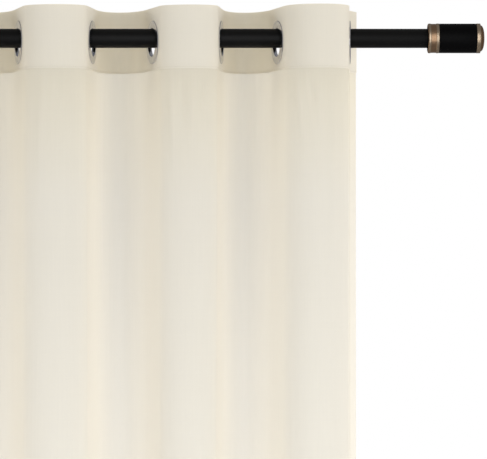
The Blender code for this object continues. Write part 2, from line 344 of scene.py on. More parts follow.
# %% Hard finishes
black = hard_material(
    "satin_black",
    dark=(0.0030, 0.0029, 0.0029, 1),
    light=(0.0045, 0.0044, 0.0044, 1),
    rough=(0.38, 0.48),
    grain=900,
    bump=0.05,
    specular=0.10,
)
deep_black = hard_material(
    "deep_black",
    dark=(0.0012, 0.0011, 0.0013, 1),
    light=(0.0022, 0.0021, 0.0023, 1),
    rough=(0.42, 0.52),
    grain=900,
    bump=0.05,
    specular=0.04,
)
copper = hard_material(
    "aged_copper",
    dark=(0.27, 0.155, 0.085, 1),
    light=(0.46, 0.37, 0.27, 1),
    rough=(0.36, 0.46),
    grain=60,
    bump=0.10,
    metallic=1.0,
    stretch=(40, 1, 1),
    cove_shade_span=(0.0190, 0.0196),
)
nickel = hard_material(
    "bright_nickel",
    dark=(0.60, 0.61, 0.67, 1),
    light=(0.76, 0.77, 0.83, 1),
    rough=(0.12, 0.20),
    grain=240,
    bump=0.02,
    metallic=1.0,
)
thread = hard_material(
    "ivory_thread",
    dark=(0.68, 0.63, 0.50, 1),
    light=(0.80, 0.75, 0.62, 1),
    rough=(0.6, 0.8),
    grain=1200,
    bump=0.2,
)
print("hard finishes:", [m.name for m in (black, deep_black, copper, nickel, thread)])

# %% [markdown]
# ## How the cloth runs
# Seen from above, the curtain is one line that crosses the rod eight times. At each ring the cloth is flat
# and nearly square to the rod, and between two rings it turns through a soft fold, first towards the room
# and then away from it. The line is drawn with short straight stretches and Bezier turns, and it drifts a
# little towards the hem, where nothing holds it.
#
# A cloth simulation could find such folds too. A drawn line was chosen because each fold can then be set
# from the photograph and the cloth's width stays what was cut. The tables hold the same values as the
# measured model's, so the dressed cloth hangs where the plain one does.

# %% The measured model's own values
def measured(node, corner, axis):
    """One side of a measured piece's box, to a tenth of a millimetre."""
    return round(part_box(node)[corner][axis], 4)


HEADING_BOTTOM = measured("heading", 0, 2)
HEADING_TOP = measured("heading", 1, 2)
HEM_BOTTOM = measured("voile_panel", 0, 2)
ROD_RADIUS = measured("rod", 1, 2)
GAP = 0.0003  # left between pieces that meet
THROAT_RADIUS = 0.0184  # of a ring's opening
RING_DROP = THROAT_RADIUS - ROD_RADIUS - GAP  # the rings rest on top of the rod
BOTTOM_HEM = 0.090
SIDE_HEM = 0.025
FLAT_HALF = 0.031  # the cloth is flat this far each side of a ring's middle
FLAT_HALF_AT_HEM = 0.013
BEZIER_REACH = 0.75  # a turn whose handles are 1 long comes this far forward
DRIFT_POWER = 1.6  # the folds keep the heading's form high up and wander further down
print("heading from", HEADING_BOTTOM, "to", HEADING_TOP, "and hem at", HEM_BOTTOM)

# %% The tables of crossings and folds
# Where the cloth crosses the rod, from the left, and how many degrees it leans off square to it.
Crossing = namedtuple("Crossing", "x lean hem_shift hem_lean")
CROSSINGS = (
    Crossing(x=-0.3043, lean=15.5, hem_shift=+0.009, hem_lean=11.0),
    Crossing(x=-0.2124, lean=6.5, hem_shift=-0.011, hem_lean=2.0),
    Crossing(x=-0.1324, lean=15.3, hem_shift=-0.004, hem_lean=14.0),
    Crossing(x=-0.0367, lean=7.0, hem_shift=+0.012, hem_lean=9.0),
    Crossing(x=+0.0452, lean=17.6, hem_shift=+0.008, hem_lean=6.0),
    Crossing(x=+0.1337, lean=5.7, hem_shift=-0.012, hem_lean=12.0),
    Crossing(x=+0.2103, lean=14.9, hem_shift=-0.006, hem_lean=8.0),
    Crossing(x=+0.3036, lean=2.5, hem_shift=+0.005, hem_lean=3.0),
)
# The folds between them: how far each tip stands from the rod's axis.
Fold = namedtuple("Fold", "tip hem_tip")
FOLDS = (
    Fold(tip=-0.058, hem_tip=-0.071),
    Fold(tip=+0.077, hem_tip=+0.062),
    Fold(tip=-0.056, hem_tip=-0.058),
    Fold(tip=+0.075, hem_tip=+0.084),
    Fold(tip=-0.050, hem_tip=-0.066),
    Fold(tip=+0.077, hem_tip=+0.068),
    Fold(tip=-0.064, hem_tip=-0.056),
)
# The two side edges, which turn away from the room.
Side = namedtuple("Side", "x y turn hem_x hem_y")
LEFT_SIDE = Side(x=-0.3210, y=0.067, turn=-24.0, hem_x=-0.3190, hem_y=0.062)
RIGHT_SIDE = Side(x=+0.3160, y=0.067, turn=24.0, hem_x=+0.3190, hem_y=0.060)
print("crossings:", len(CROSSINGS), "folds:", len(FOLDS))

# %% Directions and curves in plan
EDGE_STEPS = 12  # on the curve out to a side hem
HEM_STEPS = 6  # across a side hem
BEFORE_HEM = 0.001  # a side hem's own stretch starts this much early


def direction(lean, forward):
    """The way the cloth runs in plan where it leans off square to the rod."""
    angle = math.radians(lean)
    return np.array([math.sin(angle), -math.cos(angle) if forward else math.cos(angle)])


def bezier(start, first, second, end, steps):
    """Points of a cubic curve after its start, the end included."""
    t = (np.arange(steps) + 1)[:, None] / steps
    return (1 - t) ** 3 * start + 3 * (1 - t) ** 2 * t * first + 3 * (1 - t) * t**2 * second + t**3 * end


def mix(top, bottom, share):
    """A value on its way from the heading to the hem."""
    return top + (bottom - top) * share


def side_run(side, start, leaving, share):
    """Points from the last flat stretch out to a side edge."""
    tip = np.array([mix(side.x, side.hem_x, share), mix(side.y, side.hem_y, share)])
    angle = math.radians(side.turn)
    arriving = np.array([math.sin(angle), math.cos(angle)])
    hemmed = tip - arriving * (SIDE_HEM + BEFORE_HEM)
    reach = np.linalg.norm(tip - start) / 3
    curve = bezier(start, start + leaving * reach, hemmed - arriving * reach / 3, hemmed, EDGE_STEPS)
    straight = [mix(hemmed, tip, (step + 1) / HEM_STEPS) for step in range(HEM_STEPS)]
    return np.vstack([curve, straight])


print("columns out to each side edge:", EDGE_STEPS + HEM_STEPS)

# %% The line in plan
FLAT_STEPS = 10  # across the flat stretch at a ring
TURN_STEPS = 34  # round a fold


def plan(share):
    """The cloth's line from its left edge to its right one, at a share of the way to the hem."""
    flat = mix(FLAT_HALF, FLAT_HALF_AT_HEM, share)
    middles = [np.array([c.x + c.hem_shift * share, 0.0]) for c in CROSSINGS]
    ways = [direction(mix(c.lean, c.hem_lean, share), n % 2 == 0) for n, c in enumerate(CROSSINGS)]
    starts = [middle - way * flat for middle, way in zip(middles, ways)]
    ends = [middle + way * flat for middle, way in zip(middles, ways)]
    line = [side_run(LEFT_SIDE, starts[0], -ways[0], share)[::-1]]
    for number, (start, end) in enumerate(zip(starts, ends)):
        line.append(np.linspace(start, end, FLAT_STEPS + 1))
        if number == len(FOLDS):
            break
        fold, after = FOLDS[number], starts[number + 1]
        leaving, arriving = ways[number], ways[number + 1]
        depth = abs(mix(fold.tip, fold.hem_tip, share)) - abs(end[1] + after[1]) / 2
        first = end + leaving * depth / (BEZIER_REACH * abs(leaving[1]))
        second = after - arriving * depth / (BEZIER_REACH * abs(arriving[1]))
        line.append(bezier(end, first, second, after, TURN_STEPS)[:-1])
    line.append(side_run(RIGHT_SIDE, ends[-1], ways[-1], share))
    return np.vstack(line)


def room_side(line):
    """Unit vectors square to the line, towards the cloth's room side."""
    steps = np.diff(line, axis=0)
    steps /= np.linalg.norm(steps, axis=1)[:, None]
    along = np.vstack([steps[:1], steps]) + np.vstack([steps, steps[-1:]])
    along /= np.linalg.norm(along, axis=1)[:, None]
    return np.stack([along[:, 1], -along[:, 0]], axis=1)


top_line = plan(0.0)
ACROSS = np.concatenate([[0.0], np.cumsum(np.linalg.norm(np.diff(top_line, axis=0), axis=1))])
first_ring = EDGE_STEPS + HEM_STEPS + FLAT_STEPS // 2
RING_ACROSS = ACROSS[[first_ring + n * (FLAT_STEPS + TURN_STEPS) for n in range(len(CROSSINGS))]]
print(f"finished width {ACROSS[-1]:.3f} m in {len(top_line)} columns")
print("rings along the cloth:", RING_ACROSS.round(3))

# %% [markdown]
# ## A hem is the same cloth turned twice
# The side hems and the bottom hem aren't extra strips. The cloth is folded back on itself and its raw edge
# is tucked inside, so a hem has three layers, and against the light it shows as a denser band. A thicker
# strip could stand for it, but its edge and its layers would be missing from the side and from below.
#
# `hem_path` walks along the cloth past the finished edge and says how far back it has come and how deep
# behind the front layer it lies. The panel's grid simply goes on along that path, past its two sides and
# past its foot.

# %% The path of a turned hem
LAYER = 0.00035  # from the middle of one layer to the next
BEND_STEPS = 3  # round each turn of the cloth
TUCK_SHARE = 0.9  # of the hem's depth, how far the raw edge is tucked back in


def hem_path(depth, steps):
    """Past a finished edge: (way back from the edge, way behind the front layer) of each further point."""
    bends = [math.pi * (step + 1) / BEND_STEPS for step in range(BEND_STEPS)]
    tucked = depth * TUCK_SHARE
    path = [(-LAYER * math.sin(a), LAYER * (1 - math.cos(a))) for a in bends]
    path += [(depth * (step + 1) / steps, 2 * LAYER) for step in range(steps)]
    path += [(depth + LAYER / 2 * math.sin(a), 2 * LAYER - LAYER / 2 * (1 - math.cos(a))) for a in bends]
    path += [(depth - tucked * (step + 1) / steps, LAYER) for step in range(steps)]
    return path


side_path = hem_path(SIDE_HEM, steps=4)
foot_path = hem_path(BOTTOM_HEM, steps=9)

# %% [markdown]
# ## Small creases
# Voile hangs in clean folds, but it isn't a machined surface. Where it leaves the stiff heading it puckers
# a little, and a few soft lines run down from the rings. They could be sculpted. A table was chosen, because
# each line can then be moved until it lies where the photograph shows it.
#
# Each row of the table is one such line: the ring it lies nearest to, counted from the left, how far it is
# from that ring along the cloth, where it ends, how wide and deep it is, and how far it slants for each
# metre down. A positive depth is a ridge towards the room. The last four rows start lower down.

# %% Table of creases
UNDER_HEADING = -0.044  # the height at which most creases start
Crease = namedtuple("Crease", "ring away bottom width depth slant top", defaults=(UNDER_HEADING,))
CREASES = (
    Crease(ring=1, away=+0.062, bottom=-0.30, width=0.0060, depth=+0.0012, slant=+0.02),
    Crease(ring=1, away=+0.098, bottom=-0.16, width=0.0045, depth=-0.0009, slant=-0.03),
    Crease(ring=2, away=+0.050, bottom=-0.52, width=0.0080, depth=-0.0014, slant=+0.01),
    Crease(ring=2, away=+0.110, bottom=-0.21, width=0.0050, depth=+0.0009, slant=+0.04),
    Crease(ring=3, away=+0.066, bottom=-0.26, width=0.0060, depth=+0.0010, slant=-0.02),
    Crease(ring=3, away=+0.088, bottom=-0.14, width=0.0040, depth=-0.0008, slant=-0.05),
    Crease(ring=4, away=+0.056, bottom=-0.61, width=0.0075, depth=-0.0012, slant=+0.01),
    Crease(ring=4, away=+0.104, bottom=-0.17, width=0.0045, depth=+0.0008, slant=+0.03),
    Crease(ring=5, away=+0.052, bottom=-0.19, width=0.0040, depth=+0.0024, slant=+0.03),
    Crease(ring=5, away=+0.068, bottom=-0.14, width=0.0034, depth=-0.0020, slant=+0.00),
    Crease(ring=5, away=+0.081, bottom=-0.17, width=0.0038, depth=+0.0023, slant=-0.02),
    Crease(ring=5, away=+0.096, bottom=-0.12, width=0.0034, depth=-0.0019, slant=-0.03),
    Crease(ring=6, away=+0.060, bottom=-0.40, width=0.0070, depth=-0.0011, slant=-0.01),
    Crease(ring=6, away=+0.100, bottom=-0.20, width=0.0050, depth=+0.0009, slant=+0.02),
    Crease(ring=7, away=+0.058, bottom=-0.16, width=0.0042, depth=+0.0025, slant=+0.12),
    Crease(ring=7, away=+0.078, bottom=-0.13, width=0.0038, depth=-0.0022, slant=+0.10),
    Crease(ring=7, away=+0.110, bottom=-0.35, width=0.0060, depth=+0.0010, slant=-0.01),
    Crease(ring=1, away=+0.080, bottom=-2.10, width=0.0090, depth=-0.0018, slant=+0.01, top=-0.90),
    Crease(ring=3, away=+0.050, bottom=-2.10, width=0.0100, depth=+0.0020, slant=-0.01, top=-1.10),
    Crease(ring=5, away=+0.090, bottom=-2.10, width=0.0090, depth=+0.0018, slant=+0.01, top=-0.80),
    Crease(ring=6, away=+0.045, bottom=-2.10, width=0.0080, depth=-0.0016, slant=+0.00, top=-1.30),
)
RISE = 0.04  # a crease starts over this height at most
DYING_SHARE = 0.6  # of a crease's length, the lower part over which it dies out
DYING_POWER = 1.5


def relief(across, height):
    """How far the small creases push the cloth towards the room."""
    total = np.zeros_like(across)
    for crease in CREASES:
        length = crease.top - crease.bottom
        middle = RING_ACROSS[crease.ring - 1] + crease.away + crease.slant * (crease.top - height)
        shape = np.exp(-(((across - middle) / crease.width) ** 2))
        start = np.clip((crease.top - height) / min(RISE, length / 3), 0, 1)
        end = np.clip((height - crease.bottom) / (DYING_SHARE * length), 0, 1)
        total += crease.depth * shape * start * end**DYING_POWER
    return total


print("creases:", len(CREASES))

# %% [markdown]
# ## The panel
# The panel is one grid of points: a column for each step along the line, a row for each height. Rows are
# close together under the heading, where the small creases are, and further apart lower down. Each point
# gets its UV coordinates from the flat cloth, so the weave knows nothing of the folds. A wall with two
# faces could be made too. One sheet was chosen for each layer, because voile is only about 0.2 mm thick
# and the material already says how much light goes through a layer.

# %% Helper: a cloth mesh with its flat coordinates
def grid_faces(rows, columns):
    """Quads of a grid whose rows run downwards and whose room side is the front."""
    first = (np.arange(rows - 1)[:, None] * columns + np.arange(columns - 1)[None, :]).ravel()
    return np.stack([first, first + columns, first + columns + 1, first + 1], axis=1).tolist()


def cloth_object(name, points, faces, flat, material):
    """A smooth mesh with a UV map named cloth that holds each point's place on the flat cloth."""
    mesh = bpy.data.meshes.new(name)
    mesh.from_pydata(np.asarray(points).tolist(), [], faces)
    layer = mesh.uv_layers.new(name="cloth")
    corners = np.zeros(len(mesh.loops), dtype=np.int32)
    mesh.loops.foreach_get("vertex_index", corners)
    layer.data.foreach_set("uv", np.asarray(flat, dtype=np.float32)[corners].ravel())
    mesh.materials.append(material)
    mesh.shade_smooth()
    return put(name, mesh)


print("cloth helper ready")

# %% The panel's rows and columns
TUCKED = 0.010  # the panel's top runs up between the heading's two layers
BODY_ROWS = 178
ROW_POWER = 1.5  # above 1, rows crowd towards the top

panel_top = HEADING_BOTTOM + TUCKED
steps_down = [(row / BODY_ROWS) ** ROW_POWER for row in range(BODY_ROWS + 1)]
body = [mix(panel_top, HEM_BOTTOM, share) for share in steps_down]
panel_rows = [(height, 0.0, panel_top - height) for height in body]  # height, way behind, way down the cloth
walked = panel_top - HEM_BOTTOM
last = (0.0, 0.0)
for back, behind in foot_path:
    walked += math.hypot(back - last[0], behind - last[1])
    panel_rows.append((HEM_BOTTOM + back, behind, walked))
    last = (back, behind)

side_steps = np.diff([(0.0, 0.0), *side_path], axis=0)
side_walk = np.cumsum(np.linalg.norm(side_steps, axis=1))
flat_across = np.concatenate([-side_walk[::-1], ACROSS, ACROSS[-1] + side_walk])
print("panel:", len(panel_rows), "rows of", len(flat_across), "points")

# %% Build the panel
SEAM_ABOVE_EDGE = 0.0022  # the heading's seam above its lower edge


def drift(height):
    """The share of the way to the hem at a height, as far as the folds' drift goes."""
    top = HEADING_BOTTOM - GAP
    return max((top - height) / (top - HEM_BOTTOM), 0.0) ** DRIFT_POWER


def turned_in(edge, inner, side, behind):
    """Points of a side hem at one height, from the cloth's edge on."""
    inward = (inner - edge) / np.linalg.norm(inner - edge)
    return [edge + inward * back - side * (deep + behind) for back, deep in side_path]


points = []
flat = []
turned = []
for height, behind, down in panel_rows:
    line = plan(drift(height))
    out = room_side(line)
    bumps = relief(ACROSS, np.full_like(ACROSS, height))
    row = turned_in(line[0], line[1], out[0], behind)[::-1]
    row += list(line + out * (bumps - behind)[:, None])
    row += turned_in(line[-1], line[-2], out[-1], behind)
    points += [(x, y, height) for x, y in row]
    flat += [(a, -down) for a in flat_across]
    sewn_in = behind > 0 or height > HEADING_BOTTOM + SEAM_ABOVE_EDGE
    turned += [1.0 if sewn_in or not 0 <= a <= ACROSS[-1] else 0.0 for a in flat_across]
panel = cloth_object("voile_sheet", points, grid_faces(len(panel_rows), len(flat_across)), flat, voile)
panel.data.attributes.new("turned", "FLOAT", "POINT").data.foreach_set("value", turned)
print(f"panel: {2 * len(panel.data.polygons)} triangles")

# %% [markdown]
# ## The heading
# The top of a grommet curtain is folded over a stiffener, punched, and stitched down along its lower edge.
# It is made here in the same order: a flat strip is drawn as it lies on the bench, with its rounded top
# fold, the eight holes are punched through it with a Boolean, and only then is it bent along the line. The
# bent strip could be punched as well, but a flat one keeps its holes clean, and as the cloth's flat stretch
# at each ring is wider than the ring, they stay round.

# %% The strip on the bench
HALF_THICK = 0.0009  # of the doubled cloth with its stiffener
PINCH = 0.00035  # half the thickness at the lower edge, where the strip is stitched down
PINCH_HEIGHT = 0.0045  # the strip is fully thick from this far above its lower edge
HEADING_ROWS = 22
HEADING_ROW_POWER = 1.3  # above 1, rows crowd towards the lower edge
FOLD_STEPS = 8


def heading_section():
    """The strip's outline across its thickness: up the front, over the fold and down the back."""
    top = HEADING_TOP - HALF_THICK
    front = []
    for row in range(HEADING_ROWS + 1):
        height = mix(HEADING_BOTTOM, top, (row / HEADING_ROWS) ** HEADING_ROW_POWER)
        open_share = min((height - HEADING_BOTTOM) / PINCH_HEIGHT, 1.0)
        front.append((mix(PINCH, HALF_THICK, math.sin(open_share * math.pi / 2)), height))
    bends = [math.pi * step / FOLD_STEPS for step in range(1, FOLD_STEPS)]
    fold = [(HALF_THICK * math.cos(a), top + HALF_THICK * math.sin(a)) for a in bends]
    return front + fold + [(-out, height) for out, height in reversed(front)]


section = heading_section()
around = len(section)
strip_points = [(a, -out, height) for a in ACROSS for out, height in section]
strip_faces = []
for column in range(len(ACROSS) - 1):
    here = column * around
    for k in range(around):
        ahead = (k + 1) % around
        strip_faces.append((here + k, here + ahead, here + around + ahead, here + around + k))
strip_faces.append(tuple(range(around)))
strip_faces.append(tuple(range(len(strip_points) - 1, len(strip_points) - 1 - around, -1)))
strip = put("heading_strip", closed_mesh("heading_strip", strip_points, strip_faces))
print("flat strip:", len(strip_faces), "faces")

# %% Punch its holes
HOLE_RADIUS = 0.0203
HOLE_SIDES = 64
PUNCH_LENGTH = 0.02  # much longer than the strip is thick

punch_work = bmesh.new()
for a in RING_ACROSS:
    made = bmesh.ops.create_cone(
        punch_work,
        cap_ends=True,
        segments=HOLE_SIDES,
        radius1=HOLE_RADIUS,
        radius2=HOLE_RADIUS,
        depth=PUNCH_LENGTH,
    )
    bmesh.ops.rotate(punch_work, verts=made["verts"], matrix=Matrix.Rotation(math.pi / 2, 3, "X"))
    bmesh.ops.translate(punch_work, verts=made["verts"], vec=(a, 0, -RING_DROP))
punch_mesh = bpy.data.meshes.new("punches")
punch_work.to_mesh(punch_mesh)
punch_work.free()
punches = put("punches", punch_mesh)
cut = strip.modifiers.new("holes", "BOOLEAN")
cut.object = punches
cut.solver = "EXACT"
bpy.context.view_layer.update()
flat_mesh = bpy.data.meshes.new_from_object(strip.evaluated_get(bpy.context.evaluated_depsgraph_get()))
bpy.data.objects.remove(strip)
bpy.data.objects.remove(punches)
print("holes:", len(RING_ACROSS))

# %% Bend it along the line
CLOTH_SHARP = math.radians(60)  # edges of the strip sharper than this stay crisp


def along_line(places, values):
    """What is known at the line's points, found at other places along the cloth."""
    return np.stack([np.interp(places, ACROSS, values[:, k]) for k in (0, 1)], axis=1)


flat_points = np.array([v.co[:] for v in flat_mesh.vertices])
base = along_line(flat_points[:, 0], top_line)
out = along_line(flat_points[:, 0], room_side(top_line))
out /= np.linalg.norm(out, axis=1)[:, None]
hung = np.column_stack([base + out * -flat_points[:, 1:2], flat_points[:, 2]])
faces = [tuple(p.vertices) for p in flat_mesh.polygons]
heading = cloth_object("heading_cloth", hung, faces, flat_points[:, [0, 2]], lined)
heading.data.set_sharp_from_angle(angle=CLOTH_SHARP)
print("heading:", len(faces), "faces")

# %% [markdown]
# ## Turned pieces
# Rings, tube and caps are all bodies of revolution, so one helper turns an outline about the X axis. The
# outline is a closed list of (along, radius) points. A Screw modifier could turn it as well. A loop was
# chosen, because it closes the points on the axis into a pole in the same step.

# %% Helper: turn an outline
SHARP = math.radians(35)  # edges sharper than this stay crisp


def turned_mesh(name, outline, sides, material):
    """A closed mesh turned about X."""
    points = []
    rings = []
    for along, radius in outline:
        if radius == 0.0:
            rings.append([len(points)] * sides)
            points.append((along, 0.0, 0.0))
            continue
        rings.append([len(points) + side for side in range(sides)])
        for side in range(sides):
            angle = side * math.tau / sides
            points.append((along, radius * math.sin(angle), radius * math.cos(angle)))
    faces = []
    for here, after in zip(rings, rings[1:] + rings[:1]):
        for side in range(sides):
            ahead = (side + 1) % sides
            face = list(dict.fromkeys([here[side], here[ahead], after[ahead], after[side]]))
            if len(face) > 2:
                faces.append(face)
    mesh = closed_mesh(name, points, faces)
    mesh.materials.append(material)
    mesh.shade_smooth()
    mesh.set_sharp_from_angle(angle=SHARP)
    return mesh


def arc(middle, radius, start, end, steps):
    """Points on an arc in the outline's plane, angles in degrees from the +along direction."""
    angles = [math.radians(start + (end - start) * (step / steps)) for step in range(steps + 1)]
    return [(middle[0] + radius * math.cos(a), middle[1] + radius * math.sin(a)) for a in angles]


print("lathe ready")

# %% [markdown]
# ## The rings
# Each ring is two stamped pieces that grip the heading between them. The front one carries the sleeve that
# lines the hole, and the back one closes on it. All eight are alike, so each half is turned once and
# repeated with Geometry Nodes: eight points, one for each ring, carry their own turn, and the tree puts a
# copy of the half ring on each. A loop could copy it too, but the tree keeps one shape and one finish for
# all. Realize Instances then makes the copies real mesh.

# %% Half rings
RING_RADIUS = 0.02875
RING_RISE = 0.0017  # how far the ring's crown stands off the cloth
RING_SIDES = 72
SLEEVE_RADIUS = 0.0200
seat_at = HALF_THICK + GAP
crown_at = seat_at + RING_RISE
sleeve_end = seat_at - 2 * HALF_THICK
back_start = sleeve_end - GAP
roll = RING_RISE - 0.0001  # the edge rolls into the hole on this radius
flange = [
    (seat_at, RING_RADIUS - 0.0006),
    (seat_at + 0.0002, RING_RADIUS - 0.0001),
    (seat_at + 0.0006, RING_RADIUS),
    (seat_at + 0.0010, RING_RADIUS - 0.0004),
    (crown_at - 0.0005, RING_RADIUS - 0.0016),
    (crown_at - 0.0003, RING_RADIUS - 0.0034),
    (crown_at - 0.0001, RING_RADIUS - 0.0062),
    *arc((crown_at - roll, THROAT_RADIUS + roll), roll, 0, -90, 6),
]
mirrored = [(-along, radius) for along, radius in flange[:-1]]
front_sleeve = [(sleeve_end, THROAT_RADIUS), (sleeve_end, SLEEVE_RADIUS), (seat_at, SLEEVE_RADIUS)]
back_sleeve = [(back_start, THROAT_RADIUS), (back_start, SLEEVE_RADIUS), (-seat_at, SLEEVE_RADIUS)]
front_half = turned_mesh("half_ring_front", flange + front_sleeve, RING_SIDES, nickel)
back_half = turned_mesh("half_ring_back", mirrored + back_sleeve, RING_SIDES, nickel)
print("half rings:", len(front_half.polygons), len(back_half.polygons), "faces")

# %% [markdown]
# ## Trees that repeat a piece
# The rings and the stitches are repeated in the same way, so both trees start, end and run through the same
# helpers. A carrier is a mesh of bare points, or a line, and each of its points holds the vector that the
# copy on it has to face. The tree could stay on the carrier as a modifier. Its result is kept instead, so
# that each piece is a plain mesh.

# %% Helpers: start, end and run a Geometry Nodes tree
def geometry_tree(name, sockets):
    """An empty Geometry Nodes tree with named inputs of the given socket types."""
    tree = bpy.data.node_groups.new(name, "GeometryNodeTree")
    tree.interface.new_socket("Geometry", in_out="INPUT", socket_type="NodeSocketGeometry")
    for label, kind in sockets.items():
        tree.interface.new_socket(label, in_out="INPUT", socket_type=kind)
    tree.interface.new_socket("Geometry", in_out="OUTPUT", socket_type="NodeSocketGeometry")
    return tree, add(tree, "NodeGroupInput").outputs, add(tree, "NodeGroupOutput").inputs


def end_tree(tree, copies, finish, result):
    """Makes the copies real mesh, sets their material and links them to the tree's output."""
    real = add(tree, "GeometryNodeRealizeInstances", {"Geometry": copies.outputs[0]})
    painted = add(tree, "GeometryNodeSetMaterial", {"Geometry": real.outputs[0], "Material": finish})
    tree.links.new(painted.outputs[0], result["Geometry"])


def facing_attribute(tree):
    """The vector that each point of the carrier was given."""
    named = {"Name": "facing"}
    return add(tree, "GeometryNodeInputNamedAttribute", named, data_type="FLOAT_VECTOR").outputs["Attribute"]


def run_tree(carrier, tree, values):
    """Runs the tree on the object with its inputs set, and leaves the result as a plain mesh."""
    modifier = carrier.modifiers.new(tree.name, "NODES")
    modifier.node_group = tree
    for item in tree.interface.items_tree:
        if item.item_type == "SOCKET" and item.in_out == "INPUT" and item.name in values:
            modifier[item.identifier] = values[item.name]
    bpy.context.view_layer.update()
    graph = bpy.context.evaluated_depsgraph_get()
    made = bpy.data.meshes.new_from_object(carrier.evaluated_get(graph), depsgraph=graph)
    carrier.modifiers.clear()
    carrier.data = made
    return carrier


def carrier_of(name, points, vectors, edges=()):
    """A mesh of bare points or of a polyline that carries one vector for each point."""
    mesh = bpy.data.meshes.new(name)
    mesh.from_pydata([tuple(p) for p in points], list(edges), [])
    layer = mesh.attributes.new("facing", "FLOAT_VECTOR", "POINT")
    layer.data.foreach_set("vector", np.asarray(vectors, dtype=np.float32).ravel())
    return put(name, mesh)


print("Geometry Nodes helpers ready")

# %% Repeat the half rings
RING_SOCKETS = {"Ring": "NodeSocketObject", "Finish": "NodeSocketMaterial"}
ring_tree, given, result = geometry_tree("rings_on_points", RING_SOCKETS)
ring_shape = add(ring_tree, "GeometryNodeObjectInfo", {"Object": given["Ring"]})
turn_to = add(
    ring_tree,
    "FunctionNodeAlignRotationToVector",
    {"Vector": facing_attribute(ring_tree)},
    axis="X",
    pivot_axis="Z",
)
copies = add(
    ring_tree,
    "GeometryNodeInstanceOnPoints",
    {"Points": given["Geometry"], "Instance": ring_shape.outputs["Geometry"], "Rotation": turn_to.outputs[0]},
)
end_tree(ring_tree, copies, given["Finish"], result)

ring_places = [(c.x, 0.0, -RING_DROP) for c in CROSSINGS]
ring_ways = [direction(crossing.lean, number % 2 == 0) for number, crossing in enumerate(CROSSINGS)]
ring_facing = [(way[1], -way[0], 0.0) for way in ring_ways]
rings = {}
for name, half in (("ring_fronts", front_half), ("ring_backs", back_half)):
    pattern = put(name + "_pattern", half)
    carrier = carrier_of(name, ring_places, ring_facing)
    rings[name] = run_tree(carrier, ring_tree, {"Ring": pattern, "Finish": nickel})
    bpy.data.objects.remove(pattern)
    rings[name].data.set_sharp_from_angle(angle=SHARP)
    print(name, len(rings[name].data.polygons), "faces")

# %% [markdown]
# ## Stitching
# A lockstitch shows as a row of short, plump stitches sunk a little into the cloth. They could be drawn in
# the cloth's bump, but real stitches catch the light along a seam. Modelling one stitch and letting
# Geometry Nodes walk it along each seam keeps the count honest: the tree resamples the seam at the
# stitches' pitch and puts one stitch on each point, turned along the seam and lying on the cloth.

# %% One stitch
STITCH_LENGTH = 0.0025
STITCH_THICK = 0.00042
STITCH_SIDES = 6
STITCH_FORM = ((-0.5, 0.0), (-0.34, 0.36), (0.0, 0.5), (0.34, 0.36), (0.5, 0.0))  # of length and thickness


def stitch_mesh():
    """A plump stitch along X, thickest in its middle."""
    sides = STITCH_SIDES
    outline = [(along * STITCH_LENGTH, wide * STITCH_THICK) for along, wide in STITCH_FORM]
    points = [(outline[0][0], 0, 0)]
    for along, radius in outline[1:-1]:
        for side in range(sides):
            angle = side * math.tau / sides
            points.append((along, radius * math.cos(angle), radius * math.sin(angle)))
    points.append((outline[-1][0], 0, 0))
    faces = [(0, 1 + (side + 1) % sides, 1 + side) for side in range(sides)]
    for first in (1, 1 + sides):
        for side in range(sides):
            ahead = (side + 1) % sides
            faces.append((first + side, first + ahead, first + sides + ahead, first + sides + side))
    last = 1 + 2 * sides
    faces += [(last + side, last + (side + 1) % sides, last + sides) for side in range(sides)]
    mesh = bpy.data.meshes.new("stitch")
    mesh.from_pydata(points, [], faces)
    mesh.materials.append(thread)
    mesh.shade_smooth()
    return mesh


print(f"a stitch is {1000 * STITCH_LENGTH:.1f} mm long")

# %% The tree that walks a stitch along a seam
STITCH_PITCH = 0.0031
SHORTEST = (0.92, 0.9, 0.9)  # a stitch's size next to the plain one, along and across
LONGEST = (1.06, 1.1, 1.1)
STITCH_SEED = 7
STITCH_SOCKETS = {
    "Stitch": "NodeSocketObject",
    "Pitch": "NodeSocketFloat",
    "Shortest": "NodeSocketVector",
    "Longest": "NodeSocketVector",
    "Finish": "NodeSocketMaterial",
}
seam_tree, given, result = geometry_tree("stitches_on_seam", STITCH_SOCKETS)
as_curve = add(seam_tree, "GeometryNodeMeshToCurve", {"Mesh": given["Geometry"]})
evened = add(
    seam_tree,
    "GeometryNodeResampleCurve",
    {"Curve": as_curve.outputs[0], "Length": given["Pitch"]},
    mode="LENGTH",
)
stitch_shape = add(seam_tree, "GeometryNodeObjectInfo", {"Object": given["Stitch"]})
tangent = add(seam_tree, "GeometryNodeInputTangent")
along_seam = add(seam_tree, "FunctionNodeAlignRotationToVector", {"Vector": tangent.outputs[0]}, axis="X")
on_cloth = add(
    seam_tree,
    "FunctionNodeAlignRotationToVector",
    {"Rotation": along_seam.outputs[0], "Vector": facing_attribute(seam_tree)},
    axis="Z",
    pivot_axis="X",
)
uneven = add(
    seam_tree,
    "FunctionNodeRandomValue",
    {"Seed": STITCH_SEED, "Min": given["Shortest"], "Max": given["Longest"]},
    data_type="FLOAT_VECTOR",
)
copies = add(
    seam_tree,
    "GeometryNodeInstanceOnPoints",
    {
        "Points": evened.outputs[0],
        "Instance": stitch_shape.outputs["Geometry"],
        "Rotation": on_cloth.outputs[0],
        "Scale": uneven.outputs["Value"],
    },
)
end_tree(seam_tree, copies, given["Finish"], result)
print(f"one stitch every {1000 * STITCH_PITCH:.1f} mm")

# %% Where the seams run
SIDE_SEAM = 0.0225  # from the side edge
FOOT_SEAM = 0.0870  # from the finished foot
PROUD = 0.00012  # how far a stitch's middle stands off the cloth
SEAM_STEP = 0.02  # between the points of a side seam
SEAM_START = 0.004  # below the heading's lower edge


